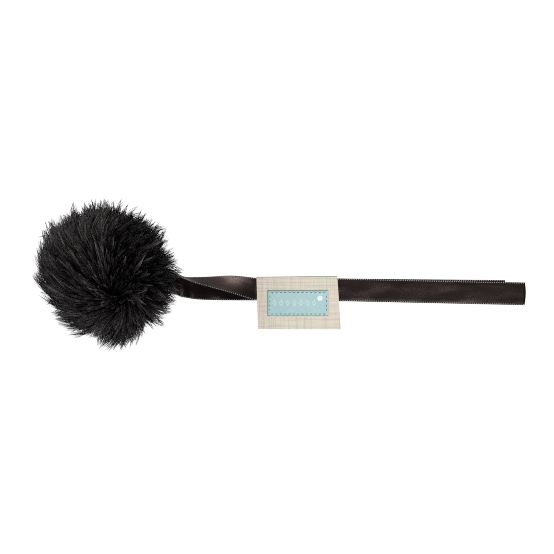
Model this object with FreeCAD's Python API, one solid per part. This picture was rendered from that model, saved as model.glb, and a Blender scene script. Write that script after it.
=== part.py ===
"""Faux-fur pompom on a folded satin ribbon, with a folded card tag on the two tails.

Millimetres. +X runs along the ribbon away from the pompom, +Z is up, and the origin is the middle of the
flattened spot that the pompom rests on.
"""
import FreeCAD
import Part
import math
import os

from FreeCAD import Vector

# Pompom
PILE_RADIUS = 29.0
BACKING_RADIUS = 15.0
BACKING_THICKNESS = 0.9
STUFFING_RADIUS = 13.9
CENTRE_HEIGHT = 25.5
PILE_GAP = 0.1
CENTRE = Vector(0, 0, CENTRE_HEIGHT)

# Notch in the pile that the ribbon swings in
NOTCH_ROOT_X = 9.5
NOTCH_ROOT_HALF_WIDTH = 5.0
NOTCH_END_X = 33.0
NOTCH_END_LEFT = 13.5
NOTCH_END_RIGHT = 18.5
NOTCH_TOP = 23.8

# Gathered neck: a stub that leans down from the backing, and the upright thread that holds the ribbon
STUB_DIRECTION = Vector(0.82, 0.05, -0.57)
STUB_START = 15.6
STUB_LENGTH = 3.8
STUB_RADIUS = 2.8
WAIST_RADIUS = 2.3
WAIST_START = 1.1
MOUTH_CLEARANCE = 0.6
PLEATS = 9
PLEAT_DEPTH = 0.4
WRAPS = 3
WRAP_THREAD = 0.5
KNOT_RADIUS = 0.75
BAIL_POINT = Vector(18.6, 1.0, 13.8)
BAIL_THREAD = 0.5
BAIL_OVERHANG = 0.6
BAIL_DEPTH = 1.6
BAIL_SPREAD = 1.6

# Ribbon
RIBBON_WIDTH = 10.0
RIBBON_THICKNESS = 0.3
FOLD_INNER_RADIUS = 0.45
FOLD_LENGTH = 1.6
TACKS = 3
TACK_DIAMETER = 0.4
TACK_PROUD = 0.25
LEAD_STATIONS = 36
LEAD_END_X = 63.6
UNDER_LEVEL = 0.65
OVER_LEVEL = 1.0
EDGE_AT_CARD_Y = -2.3
UNDER_END = Vector(173.7, -3.34, 0)
OVER_KINK = Vector(102.0, -2.62, 0)
OVER_END = Vector(182.4, -4.4, 0)
OVER_END_BOW = 0.5

# Card tag
CARD_TOP_LEFT = Vector(64.4, -1.9, 0)
CARD_TOP_RIGHT = Vector(99.9, -1.5, 0)
CARD_BOTTOM_RIGHT = Vector(101.4, -25.0, 0)
CARD_BOTTOM_LEFT = Vector(65.0, -24.9, 0)
BACK_PANEL = 0.4
SPINE = 0.25
FRONT_UNDERSIDE = 1.3
FRONT_PANEL = 0.6
FOLD_CLEARANCE = 0.05

# Label
LABEL_CENTRE = Vector(82.7, -13.55, 0)
LABEL_LENGTH = 26.4
LABEL_HEIGHT = 10.9
LABEL_THICKNESS = 0.25
RECESS_FLOOR = 1.5
RECESS_CLEARANCE = 0.05
STITCH_INSET = 0.75
STITCH_PITCH = 1.9
STITCH_LENGTH = 1.15
STITCH_WIDTH = 0.36
STITCH_PROUD = 0.1
THREAD_BED = 0.08
LOZENGES = 7
LOZENGE_PITCH = 2.9
LOZENGE_LENGTH = 2.1
LOZENGE_HEIGHT = 3.4
EMBOSS = 0.1
DOT_RADIUS = 1.2
DOT_OFFSET = Vector(9.6, 2.2, 0)


def export(name, shape):
    """Writes one sub-part, after making sure that it is a valid closed solid."""
    shape = shape.removeSplitter()
    if not shape.isValid() or not shape.Solids:
        raise ValueError(name + " is not a valid solid")
    shape.exportStep("parts/" + name + ".step")


def prism(points, bottom, top):
    """An upright prism over a flat outline."""
    corners = [Vector(p.x, p.y, bottom) for p in points]
    face = Part.Face(Part.makePolygon(corners + corners[:1]))
    return face.extrude(Vector(0, 0, top - bottom))


def block(centre, length, width, bottom, top):
    """A level box about a centre line."""
    corner = Vector(centre.x - length / 2, centre.y - width / 2, bottom)
    return Part.makeBox(length, width, top - bottom, corner)


def rod(start, end, diameter):
    """A round rod between two points."""
    return Part.makeCylinder(diameter / 2, (end - start).Length, start, end - start)


# ---- pompom ----

def stub_axis():
    return Vector(STUB_DIRECTION).normalize()


def notch():
    """The wedge below the pompom's widest line that stays open for the ribbon's swing and lift."""
    y = BAIL_POINT.y
    outline = [
        Vector(NOTCH_ROOT_X, y - NOTCH_ROOT_HALF_WIDTH, 0),
        Vector(NOTCH_END_X, y - NOTCH_END_RIGHT, 0),
        Vector(NOTCH_END_X, y + NOTCH_END_LEFT, 0),
        Vector(NOTCH_ROOT_X, y + NOTCH_ROOT_HALF_WIDTH, 0),
    ]
    return prism(outline, -5, NOTCH_TOP)


def fur_pile():
    ball = Part.makeSphere(PILE_RADIUS, CENTRE)
    table = Part.makeBox(100, 100, 50, Vector(-50, -50, -50))
    core = Part.makeSphere(BACKING_RADIUS + PILE_GAP, CENTRE)
    return ball.cut(table).cut(notch()).cut(core)


def fur_backing():
    outside = Part.makeSphere(BACKING_RADIUS, CENTRE)
    inside = Part.makeSphere(BACKING_RADIUS - BACKING_THICKNESS, CENTRE)
    mouth = rod(CENTRE, CENTRE + stub_axis() * STUB_START * 1.2, 2 * (STUB_RADIUS + MOUTH_CLEARANCE))
    return outside.cut(inside).cut(mouth)


def stuffing():
    return Part.makeSphere(STUFFING_RADIUS, CENTRE)


# ---- gathered neck ----

def stub_frame():
    """The stub's placement: its own +Z runs out along the stub from the backing."""
    base = CENTRE + stub_axis() * STUB_START
    return FreeCAD.Placement(base, FreeCAD.Rotation(Vector(0, 0, 1), stub_axis()))


def neck_stub():
    """A pleated collar at each end of a plain round waist, where the thread is wound."""
    waist_end = WAIST_START + WRAPS * WRAP_THREAD + 0.2
    spans = [(0, WAIST_START), (waist_end, STUB_LENGTH)]
    stub = Part.makeCylinder(WAIST_RADIUS, STUB_LENGTH)
    for low, high in spans:
        collar = Part.makeCylinder(STUB_RADIUS, high - low, Vector(0, 0, low))
        for i in range(PLEATS):
            angle = 2 * math.pi * i / PLEATS
            middle = Vector(STUB_RADIUS * math.cos(angle), STUB_RADIUS * math.sin(angle), low)
            collar = collar.cut(Part.makeCylinder(PLEAT_DEPTH, high - low, middle))
        stub = stub.fuse(collar)
    stub.Placement = stub_frame()
    return stub.cut(sewing_bail())


def neck_wrap(index):
    """One turn of the gathering thread round the waist."""
    along = WAIST_START + 0.1 + WRAP_THREAD * (index + 0.5)
    radius = WAIST_RADIUS + WRAP_THREAD / 2 + 0.03
    turn = Part.makeTorus(radius, WRAP_THREAD / 2 - 0.02, Vector(0, 0, along))
    turn.Placement = stub_frame()
    return turn


def neck_knot():
    """The knot sits against the wound turns, on the stub's upper side."""
    along = WAIST_START + 0.1 + WRAP_THREAD * WRAPS / 2
    out = WAIST_RADIUS + WRAP_THREAD + KNOT_RADIUS + 0.06
    knot = Part.makeSphere(KNOT_RADIUS, Vector(0, out, along))
    tail = rod(Vector(0, out, along), Vector(1.6, out + 0.8, along + 0.6), WRAP_THREAD * 0.8)
    knot = knot.fuse(tail)
    knot.Placement = stub_frame()
    return knot


def sewing_bail():
    """Thread sewn into the stub at both ends, with an upright run inside the ribbon's fold."""
    up = Vector(0, 0, RIBBON_WIDTH / 2 + BAIL_OVERHANG)
    back = Vector(-BAIL_DEPTH, 0, 0)
    tip = CENTRE + stub_axis() * (STUB_START + STUB_LENGTH)
    spread = stub_axis().cross(Vector(0, 1, 0)).normalize() * BAIL_SPREAD
    if spread.z < 0:
        spread = -spread
    inward = stub_axis() * -0.6
    outward = stub_axis() * 0.5
    route = [
        tip + spread + inward,
        tip + spread + outward,
        BAIL_POINT + up + back,
        BAIL_POINT + up,
        BAIL_POINT - up,
        BAIL_POINT - up + back,
        tip - spread + outward,
        tip - spread + inward,
    ]
    thread = rod(route[0], route[1], BAIL_THREAD)
    for start, end in zip(route[1:], route[2:]):
        thread = thread.fuse(Part.makeSphere(BAIL_THREAD / 2, start))
        thread = thread.fuse(rod(start, end, BAIL_THREAD))
    return thread


# ---- ribbon ----

def ribbon_fold():
    """The ribbon's middle: half a turn round the upright thread, then two short straight layers."""
    inner = FOLD_INNER_RADIUS
    outer = inner + RIBBON_THICKNESS
    foot = BAIL_POINT - Vector(0, 0, RIBBON_WIDTH / 2)
    turn = Part.makeCylinder(outer, RIBBON_WIDTH, foot)
    turn = turn.cut(Part.makeCylinder(inner, RIBBON_WIDTH, foot))
    front = Part.makeBox(outer, 2 * outer, RIBBON_WIDTH, foot + Vector(0, -outer, 0))
    fold = turn.cut(front)
    for side in (-1, 1):
        low_y = side * (inner + RIBBON_THICKNESS / 2) - RIBBON_THICKNESS / 2
        corner = foot + Vector(0, low_y, 0)
        fold = fold.fuse(Part.makeBox(FOLD_LENGTH, RIBBON_THICKNESS, RIBBON_WIDTH, corner))
    for i in range(TACKS):
        fold = fold.cut(tack_stitch(i))
    return fold


def tack_stitch(index):
    """A thread tack straight through both layers."""
    reach = FOLD_INNER_RADIUS + RIBBON_THICKNESS + TACK_PROUD
    height = RIBBON_WIDTH * ((index + 0.5) / TACKS - 0.5)
    middle = BAIL_POINT + Vector(FOLD_LENGTH * 0.62, 0, height)
    return rod(middle - Vector(0, reach, 0), middle + Vector(0, reach, 0), TACK_DIAMETER)


def smooth(points, stations):
    """Points at even shares of a curve through the given ones."""
    curve = Part.BSplineCurve()
    knots = [p.x for p in points]
    curve.interpolate(Points=points, Parameters=knots)
    low, high = knots[0], knots[-1]
    return [curve.value(low + (high - low) * i / (stations - 1)) for i in range(stations)]


def ribbon_strip(outer_edge, inner_edge):
    """A thin solid between two edge curves, with straight rulings from edge to edge."""
    outer = smooth(outer_edge, LEAD_STATIONS)
    inner = smooth(inner_edge, LEAD_STATIONS)
    sections = []
    for i in range(LEAD_STATIONS):
        before = max(i - 1, 0)
        after = min(i + 1, LEAD_STATIONS - 1)
        along = (outer[after] + inner[after]) - (outer[before] + inner[before])
        if i in (0, LEAD_STATIONS - 1):
            along = Vector(1, 0, 0)
        half = (inner[i] - outer[i]).cross(along).normalize() * (RIBBON_THICKNESS / 2)
        corners = [outer[i] - half, inner[i] - half, inner[i] + half, outer[i] + half]
        sections.append(Part.makePolygon(corners + corners[:1]))
    return Part.makeLoft(sections, True, True)


def lead_start(side):
    """Lower and upper corner of a layer where it leaves the fold."""
    offset = side * (FOLD_INNER_RADIUS + RIBBON_THICKNESS / 2)
    start = BAIL_POINT + Vector(FOLD_LENGTH, offset, 0)
    half = Vector(0, 0, RIBBON_WIDTH / 2)
    return start - half, start + half


def under_lead():
    """Leans over first, meets the table with a small crease, then humps up a little before it lies flat."""
    low, high = lead_start(-1)
    near_edge = [
        low,
        Vector(23.0, 1.3, 6.4),
        Vector(25.5, 1.05, 4.3),
        Vector(28.0, 0.15, 2.6),
        Vector(29.5, -0.85, 1.7),
        Vector(31.0, -1.7, 1.45),
        Vector(32.5, -2.25, 1.3),
        Vector(34.2, -2.5, 0.8),
        Vector(36.0, -2.6, 0.62),
        Vector(39.0, -2.58, 0.65),
        Vector(43.0, -2.55, 1.0),
        Vector(48.0, -2.5, 1.05),
        Vector(53.0, -2.4, 0.75),
        Vector(57.0, -2.35, UNDER_LEVEL),
        Vector(LEAD_END_X, EDGE_AT_CARD_Y, UNDER_LEVEL),
    ]
    far_edge = [
        high,
        Vector(23.0, -2.6, 15.8),
        Vector(25.5, -6.0, 11.6),
        Vector(28.0, -8.8, 7.0),
        Vector(29.5, -9.8, 3.9),
        Vector(30.6, -10.4, 2.9),
        Vector(32.2, -10.9, 2.7),
        Vector(33.5, -11.1, 2.1),
        Vector(35.0, -11.4, 1.0),
        Vector(36.5, -11.65, 0.7),
        Vector(39.0, -11.9, 1.2),
        Vector(43.0, -12.05, 2.4),
        Vector(46.0, -12.1, 2.8),
        Vector(50.0, -12.2, 2.3),
        Vector(54.0, -12.25, 1.3),
        Vector(58.0, -12.28, 0.7),
        Vector(LEAD_END_X, EDGE_AT_CARD_Y - RIBBON_WIDTH, UNDER_LEVEL),
    ]
    return ribbon_strip(near_edge, far_edge)


def over_lead():
    """Stands on its edge beside the under layer, then leans over it and lies down on it."""
    low, high = lead_start(1)
    near_edge = [
        low,
        Vector(23.0, 2.0, 6.0),
        Vector(25.5, 1.7, 3.2),
        Vector(28.0, 0.7, 1.4),
        Vector(31.5, -1.5, 0.5),
        Vector(36.0, -2.15, 0.4),
        Vector(43.3, -1.9, 0.4),
        Vector(49.2, -1.5, 0.4),
        Vector(54.1, -1.4, 0.5),
        Vector(59.0, -1.8, 0.75),
        Vector(LEAD_END_X, EDGE_AT_CARD_Y, OVER_LEVEL),
    ]
    far_edge = [
        high,
        Vector(23.0, 1.6, 16.0),
        Vector(25.5, 1.0, 13.2),
        Vector(28.0, 0.0, 11.4),
        Vector(31.5, -2.0, 10.4),
        Vector(36.0, -4.0, 10.2),
        Vector(43.3, -6.2, 9.4),
        Vector(49.2, -7.9, 8.1),
        Vector(54.1, -9.3, 6.4),
        Vector(59.0, -10.9, 4.0),
        Vector(LEAD_END_X, EDGE_AT_CARD_Y - RIBBON_WIDTH, OVER_LEVEL),
    ]
    return ribbon_strip(near_edge, far_edge)


def across(edge_point, direction):
    """The other edge of a flat ribbon, at right angles to its run."""
    run = Vector(direction).normalize()
    return edge_point + Vector(run.y, -run.x, 0) * RIBBON_WIDTH


def under_tail():
    start = Vector(LEAD_END_X, EDGE_AT_CARD_Y, 0)
    run = UNDER_END - start
    far_start = start - Vector(0, RIBBON_WIDTH, 0)
    outline = [start, UNDER_END, across(UNDER_END, run), far_start]
    half = RIBBON_THICKNESS / 2
    return prism(outline, UNDER_LEVEL - half, UNDER_LEVEL + half)


def over_tail():
    """Straight to a slight bend, then straight to an end that was cut a little bowed."""
    start = Vector(LEAD_END_X, EDGE_AT_CARD_Y, 0)
    run = OVER_END - OVER_KINK
    far_end = across(OVER_END, run)
    far_kink = across(OVER_KINK, run)
    bow = (OVER_END + far_end) / 2 + Vector(run).normalize() * OVER_END_BOW
    far_start = start - Vector(0, RIBBON_WIDTH, 0)
    edges = [
        Part.makeLine(start, OVER_KINK),
        Part.makeLine(OVER_KINK, OVER_END),
        Part.Arc(OVER_END, bow, far_end).toShape(),
        Part.makeLine(far_end, far_kink),
        Part.makeLine(far_kink, far_start),
        Part.makeLine(far_start, start),
    ]
    face = Part.Face(Part.Wire(edges))
    face.translate(Vector(0, 0, OVER_LEVEL - RIBBON_THICKNESS / 2))
    return face.extrude(Vector(0, 0, RIBBON_THICKNESS))


# ---- card tag ----

def card_outline(inset):
    """The card's outline, with its folded edge moved in by inset."""
    down = Vector(0, -inset, 0)
    return [CARD_TOP_LEFT + down, CARD_TOP_RIGHT + down, CARD_BOTTOM_RIGHT, CARD_BOTTOM_LEFT]


def card_back():
    return prism(card_outline(0), 0, BACK_PANEL)


def card_fold():
    """The upright wall that the fold makes along the card's upper edge."""
    down = Vector(0, -SPINE, 0)
    wall = [CARD_TOP_LEFT, CARD_TOP_RIGHT, CARD_TOP_RIGHT + down, CARD_TOP_LEFT + down]
    return prism(wall, BACK_PANEL, FRONT_UNDERSIDE + FRONT_PANEL)


def card_front():
    """Front panel, with a shallow recess for the label."""
    panel = prism(card_outline(SPINE + FOLD_CLEARANCE), FRONT_UNDERSIDE, FRONT_UNDERSIDE + FRONT_PANEL)
    length = LABEL_LENGTH + 2 * RECESS_CLEARANCE
    height = LABEL_HEIGHT + 2 * RECESS_CLEARANCE
    return panel.cut(block(LABEL_CENTRE, length, height, RECESS_FLOOR, 10))


def stitch_places():
    """Middle of each stitch and whether it runs along X, for the four sides of the label."""
    places = []
    half_length = LABEL_LENGTH / 2 - STITCH_INSET
    half_height = LABEL_HEIGHT / 2 - STITCH_INSET
    for half, other, level in ((half_length, half_height, True), (half_height, half_length, False)):
        count = int(2 * half / STITCH_PITCH)
        for i in range(count):
            along = (i - (count - 1) / 2) * STITCH_PITCH
            for side in (-1, 1):
                step = Vector(along, side * other, 0) if level else Vector(side * other, along, 0)
                places.append((LABEL_CENTRE + step, level))
    return places


def stitch_thread():
    """One running thread: a loop under the label that comes up through it at every stitch."""
    length = LABEL_LENGTH - 2 * STITCH_INSET
    height = LABEL_HEIGHT - 2 * STITCH_INSET
    bed_top = RECESS_FLOOR + THREAD_BED
    bed = block(LABEL_CENTRE, length + STITCH_WIDTH, height + STITCH_WIDTH, RECESS_FLOOR, bed_top)
    inside = block(LABEL_CENTRE, length - STITCH_WIDTH, height - STITCH_WIDTH, RECESS_FLOOR, bed_top)
    thread = bed.cut(inside)
    face = RECESS_FLOOR + LABEL_THICKNESS
    stitches = []
    for middle, level in stitch_places():
        size = (STITCH_LENGTH, STITCH_WIDTH) if level else (STITCH_WIDTH, STITCH_LENGTH)
        stitches.append(block(middle, size[0], size[1], RECESS_FLOOR, face + STITCH_PROUD))
    return thread.multiFuse(stitches)


def lozenge(index):
    """One raised lozenge of the embossed row."""
    middle = LABEL_CENTRE + Vector((index - (LOZENGES - 1) / 2) * LOZENGE_PITCH - 1.6, 0, 0)
    points = [
        middle + Vector(LOZENGE_LENGTH / 2, 0, 0),
        middle + Vector(0, LOZENGE_HEIGHT / 2, 0),
        middle - Vector(LOZENGE_LENGTH / 2, 0, 0),
        middle - Vector(0, LOZENGE_HEIGHT / 2, 0),
    ]
    face = RECESS_FLOOR + LABEL_THICKNESS
    return prism(points, face - 0.05, face + EMBOSS)


def label_patch():
    face = RECESS_FLOOR + LABEL_THICKNESS
    patch = block(LABEL_CENTRE, LABEL_LENGTH, LABEL_HEIGHT, RECESS_FLOOR, face)
    patch = patch.multiFuse([lozenge(i) for i in range(LOZENGES)])
    return patch.cut(stitch_thread())


def label_dot():
    face = RECESS_FLOOR + LABEL_THICKNESS
    return Part.makeCylinder(DOT_RADIUS, EMBOSS, LABEL_CENTRE + DOT_OFFSET + Vector(0, 0, face))


def main():
    os.makedirs("parts", exist_ok=True)
    export("stuffing", stuffing())
    export("fur_backing", fur_backing())
    export("fur_pile", fur_pile())
    export("neck_stub", neck_stub())
    for i in range(WRAPS):
        export("neck_wrap_" + str(i + 1), neck_wrap(i))
    export("neck_knot", neck_knot())
    export("sewing_bail", sewing_bail())
    export("ribbon_fold", ribbon_fold())
    for i in range(TACKS):
        export("tack_stitch_" + str(i + 1), tack_stitch(i))
    export("under_lead", under_lead())
    export("over_lead", over_lead())
    export("under_tail", under_tail())
    export("over_tail", over_tail())
    export("card_back", card_back())
    export("card_fold", card_fold())
    export("card_front", card_front())
    export("label_patch", label_patch())
    export("stitch_thread", stitch_thread())
    export("label_dot", label_dot())


main()
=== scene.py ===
"""A black faux-fur pompom on a folded satin ribbon, with a folded card tag on the ribbon's two tails.

Lengths are written in millimetres and turned into metres where a mesh is made. +X runs along the ribbon,
+Y towards the card's folded edge, +Z up from the table.
"""
import bmesh
import bpy
import math
import numpy as np
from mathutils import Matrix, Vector


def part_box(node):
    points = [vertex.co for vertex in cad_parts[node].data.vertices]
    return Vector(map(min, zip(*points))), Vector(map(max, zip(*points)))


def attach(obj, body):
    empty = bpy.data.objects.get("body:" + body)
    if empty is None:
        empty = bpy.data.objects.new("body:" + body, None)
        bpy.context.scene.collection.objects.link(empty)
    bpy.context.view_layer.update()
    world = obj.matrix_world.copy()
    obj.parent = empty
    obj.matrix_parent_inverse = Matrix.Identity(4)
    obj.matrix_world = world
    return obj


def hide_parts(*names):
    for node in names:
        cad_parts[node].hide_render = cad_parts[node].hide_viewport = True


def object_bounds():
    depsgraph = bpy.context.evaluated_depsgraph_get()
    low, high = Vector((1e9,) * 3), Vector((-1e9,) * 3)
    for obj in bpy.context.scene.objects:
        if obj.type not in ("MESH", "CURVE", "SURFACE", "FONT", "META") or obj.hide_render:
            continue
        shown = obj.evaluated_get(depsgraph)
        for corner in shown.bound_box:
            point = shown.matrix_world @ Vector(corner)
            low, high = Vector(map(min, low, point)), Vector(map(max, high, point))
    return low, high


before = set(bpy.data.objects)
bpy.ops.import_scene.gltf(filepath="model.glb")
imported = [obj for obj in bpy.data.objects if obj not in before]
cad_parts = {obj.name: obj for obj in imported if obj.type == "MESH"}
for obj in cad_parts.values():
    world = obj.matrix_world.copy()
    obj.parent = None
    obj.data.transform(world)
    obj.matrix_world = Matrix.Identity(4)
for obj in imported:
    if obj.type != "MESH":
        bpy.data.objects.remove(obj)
cad_low, cad_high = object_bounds()
MM = 0.001


def node_box(name):
    """Lowest and highest corner of a CAD node, in millimetres."""
    low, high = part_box(name)
    return np.array(low) / MM, np.array(high) / MM


def node_middle(name):
    low, high = node_box(name)
    return (low + high) / 2


# ---------------------------------------------------------------- camera, light and floor

CAMERA_HEIGHT = 1000.0
VIEW_WIDTH = 243.8
SENSOR_WIDTH = 36.0
FLOOR_GLOW = 0.93
FLOOR_HALF = 3.0
WORLD_GLOW = 0.12
VIEW_MIDDLE = ((cad_low.x + cad_high.x) / 2 / MM - 3.5, -2.0)


def add_camera():
    data = bpy.data.cameras.new("camera")
    data.sensor_width = SENSOR_WIDTH
    data.lens = SENSOR_WIDTH * CAMERA_HEIGHT / VIEW_WIDTH
    data.clip_end = 10.0
    camera = bpy.data.objects.new("camera", data)
    camera.location = (VIEW_MIDDLE[0] * MM, VIEW_MIDDLE[1] * MM, CAMERA_HEIGHT * MM)
    bpy.context.scene.collection.objects.link(camera)
    bpy.context.scene.camera = camera


def add_area_light(name, place, aim, size, power):
    data = bpy.data.lights.new(name, "AREA")
    data.size = size
    data.energy = power
    light = bpy.data.objects.new(name, data)
    light.location = place
    direction = np.array(aim) - np.array(place)
    light.rotation_mode = "QUATERNION"
    light.rotation_quaternion = Vector(direction).to_track_quat("-Z", "Y")
    bpy.context.scene.collection.objects.link(light)


def add_studio():
    """Four soft lights, placed in metres. The top one stands back, so that the flat tails stay dark."""
    add_area_light("top_light", (0.15, 0.52, 0.84), (0.05, 0, 0), 0.30, 2.6)
    add_area_light("back_light", (0.15, 0.92, 0.38), (0.05, 0, 0), 0.50, 6.0)
    add_area_light("left_light", (-0.70, 0.15, 0.65), (0.02, 0, 0), 0.35, 4.2)
    add_area_light("front_light", (0.00, -0.80, 0.62), (0.05, 0, 0), 0.35, 4.7)
    world = bpy.data.worlds.new("studio")
    world.use_nodes = True
    background = world.node_tree.nodes["Background"]
    background.inputs["Color"].default_value = (1.0, 1.0, 1.0, 1.0)
    background.inputs["Strength"].default_value = WORLD_GLOW
    bpy.context.scene.world = world
    bpy.context.scene.view_settings.view_transform = "Standard"
    bpy.context.scene.cycles.filter_width = 1.0
    bpy.context.scene.cycles.use_denoising = False


def add_floor():
    """Pale paper that glows, so that it is white to the camera but lights nothing as a lamp."""
    mesh = bpy.data.meshes.new("floor")
    corners = [(x * FLOOR_HALF, y * FLOOR_HALF, 0) for x, y in ((-1, -1), (1, -1), (1, 1), (-1, 1))]
    mesh.from_pydata(corners, [], [(0, 1, 2, 3)])
    floor = bpy.data.objects.new("floor", mesh)
    bpy.context.scene.collection.objects.link(floor)
    material = bpy.data.materials.new("floor_paper")
    material.use_nodes = True
    shader = material.node_tree.nodes["Principled BSDF"]
    shader.inputs["Base Color"].default_value = (0.14, 0.14, 0.141, 1)
    shader.inputs["Roughness"].default_value = 0.9
    shader.inputs["Emission Color"].default_value = (1, 1, 1, 1)
    shader.inputs["Emission Strength"].default_value = FLOOR_GLOW
    material.cycles.emission_sampling = "NONE"
    mesh.materials.append(material)


# ---------------------------------------------------------------- material helpers

class Nodes:
    """A short way to write a node tree whose textures read the mesh's own place in millimetres."""

    def __init__(self, name, roughness=0.5, **values):
        self.material = bpy.data.materials.new(name)
        self.material.use_nodes = True
        self.tree = self.material.node_tree
        self.shader = self.tree.nodes["Principled BSDF"]
        self.shader.inputs["Roughness"].default_value = roughness
        for key, value in values.items():
            self.shader.inputs[key.replace("_", " ")].default_value = value
        self.place = self.tree.nodes.new("ShaderNodeTexCoord").outputs["Object"]

    def link(self, output, target, key):
        self.tree.links.new(output, target.inputs[key])

    def scaled(self, x, y, z, turn=0.0):
        """The place, turned about Z and then scaled to cycles per metre along each axis."""
        node = self.tree.nodes.new("ShaderNodeMapping")
        node.inputs["Scale"].default_value = (x, y, z)
        node.inputs["Rotation"].default_value = (0, 0, turn)
        self.link(self.place, node, "Vector")
        return node.outputs["Vector"]

    def noise(self, vector, detail=2.0, roughness=0.5):
        node = self.tree.nodes.new("ShaderNodeTexNoise")
        node.inputs["Scale"].default_value = 1.0
        node.inputs["Detail"].default_value = detail
        node.inputs["Roughness"].default_value = roughness
        self.link(vector, node, "Vector")
        return node.outputs["Fac"]

    def wave(self, vector, direction="X", distortion=0.0, detail=0.0):
        """Even ribs: one rib for each 0.314 units of the vector."""
        node = self.tree.nodes.new("ShaderNodeTexWave")
        node.bands_direction = direction
        node.inputs["Scale"].default_value = 1.0
        node.inputs["Distortion"].default_value = distortion
        node.inputs["Detail"].default_value = detail
        self.link(vector, node, "Vector")
        return node.outputs["Fac"]

    def ramp(self, factor, *stops):
        """Colours at places from 0 to 1."""
        node = self.tree.nodes.new("ShaderNodeValToRGB")
        elements = node.color_ramp.elements
        while len(elements) < len(stops):
            elements.new(0.5)
        for element, (place, colour) in zip(elements, stops):
            element.position = place
            element.color = (*colour, 1)
        self.link(factor, node, "Fac")
        return node.outputs["Color"]

    def mix(self, factor, a, b, blend="MIX"):
        node = self.tree.nodes.new("ShaderNodeMix")
        node.data_type = "RGBA"
        node.blend_type = blend
        for key, value in (("Factor", factor), ("A", a), ("B", b)):
            sockets = [s for s in node.inputs if s.name == key and s.enabled]
            if hasattr(value, "links"):
                self.tree.links.new(value, sockets[0])
            else:
                sockets[0].default_value = value if key == "Factor" else (*value, 1)
        return [s for s in node.outputs if s.enabled][0]

    def math(self, operation, a, b):
        node = self.tree.nodes.new("ShaderNodeMath")
        node.operation = operation
        for key, value in enumerate((a, b)):
            if hasattr(value, "links"):
                self.link(value, node, key)
            else:
                node.inputs[key].default_value = value
        return node.outputs["Value"]

    def colour(self, output):
        self.link(output, self.shader, "Base Color")

    def bump(self, height, depth_mm, strength=1.0):
        node = self.tree.nodes.new("ShaderNodeBump")
        node.inputs["Strength"].default_value = strength
        node.inputs["Distance"].default_value = depth_mm * MM
        self.link(height, node, "Height")
        self.link(node.outputs["Normal"], self.shader, "Normal")


FUR_SHADES = (0.0004, 0.0008, 0.0018, 0.004, 0.010, 0.024, 0.052, 0.10)


def fur_materials():
    """Near-black fibre in even shades: each strand runs from a dark root to a lighter tip, the dark root
    being painted shade.
    """
    shades = []
    for number, shade in enumerate(FUR_SHADES, 1):
        n = Nodes(f"faux_fur_{number}", roughness=0.36, Specular_IOR_Level=0.09 * number)
        n.shader.inputs["Specular Tint"].default_value = (1.0, 0.88, 0.89, 1)
        n.shader.inputs["Base Color"].default_value = (shade, shade * 0.84, shade * 0.85, 1)
        shades.append(n.material)
    return shades


def underfur_material():
    n = Nodes("underfur", roughness=0.9, Specular_IOR_Level=0.1)
    fibres = n.noise(n.scaled(900, 900, 900), detail=4)
    # Near-black: painted shade for the dense pile under the visible fibre.
    n.colour(n.ramp(fibres, (0.3, (0.001, 0.001, 0.001)), (0.8, (0.006, 0.005, 0.005))))
    n.bump(fibres, 0.5)
    return n.material


SATIN_RELIEF = 0.012
SATIN_WAVES = 40.0


def satin_material():
    """Satin: long warp floats along the ribbon, lighter patches of painted sheen, and a sheen made
    metal-like with a dark edge tint.
    """
    n = Nodes("black_satin", roughness=0.31, Metallic=0.8, Specular_Tint=(0.25, 0.20, 0.19, 1))
    floats = n.wave(n.scaled(90, 1500, 1500), "Y", distortion=1.2, detail=1.0)
    # Lighter patches in the base colour are painted sheen.
    sheen_patches = n.noise(n.scaled(60, 220, 220), detail=4, roughness=0.6)
    base = n.ramp(sheen_patches, (0.35, (0.028, 0.021, 0.020)), (0.65, (0.068, 0.050, 0.048)))
    weave = n.ramp(floats, (0.2, (0.025, 0.018, 0.018)), (0.9, (0.08, 0.058, 0.056)))
    n.colour(n.mix(0.35, base, weave))
    waves = n.noise(n.scaled(100, 180, 180), detail=0)
    n.bump(n.math("ADD", floats, n.math("MULTIPLY", waves, SATIN_WAVES)), SATIN_RELIEF)
    return n.material


def picot_material():
    n = Nodes("picot_thread", roughness=0.5)
    strands = n.noise(n.scaled(4000, 4000, 4000), detail=2)
    n.colour(n.ramp(strands, (0.3, (0.20, 0.175, 0.17)), (0.7, (0.40, 0.36, 0.35))))
    return n.material


def selvedge_material():
    n = Nodes("selvedge", roughness=0.7, Specular_IOR_Level=0.3)
    strands = n.noise(n.scaled(3000, 3000, 3000), detail=2)
    n.colour(n.ramp(strands, (0.3, (0.003, 0.0022, 0.0022)), (0.7, (0.010, 0.0075, 0.0075))))
    return n.material


def thread_material(name="black_thread", dark=(0.006, 0.006, 0.006), light=(0.03, 0.028, 0.028)):
    n = Nodes(name, roughness=0.6, Sheen_Weight=0.2)
    twist = n.wave(n.scaled(700, 700, 700, 0.6), "DIAGONAL", distortion=1.0)
    n.colour(n.ramp(twist, (0.2, dark), (0.8, light)))
    n.bump(twist, 0.05)
    return n.material


def knit_material(name, dark, light):
    n = Nodes(name, roughness=0.85)
    knit = n.math("MULTIPLY", n.wave(n.scaled(500, 500, 500), "X"), n.wave(n.scaled(350, 350, 350), "Z"))
    n.colour(n.ramp(knit, (0.1, dark), (0.9, light)))
    n.bump(knit, 0.1)
    return n.material


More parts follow.
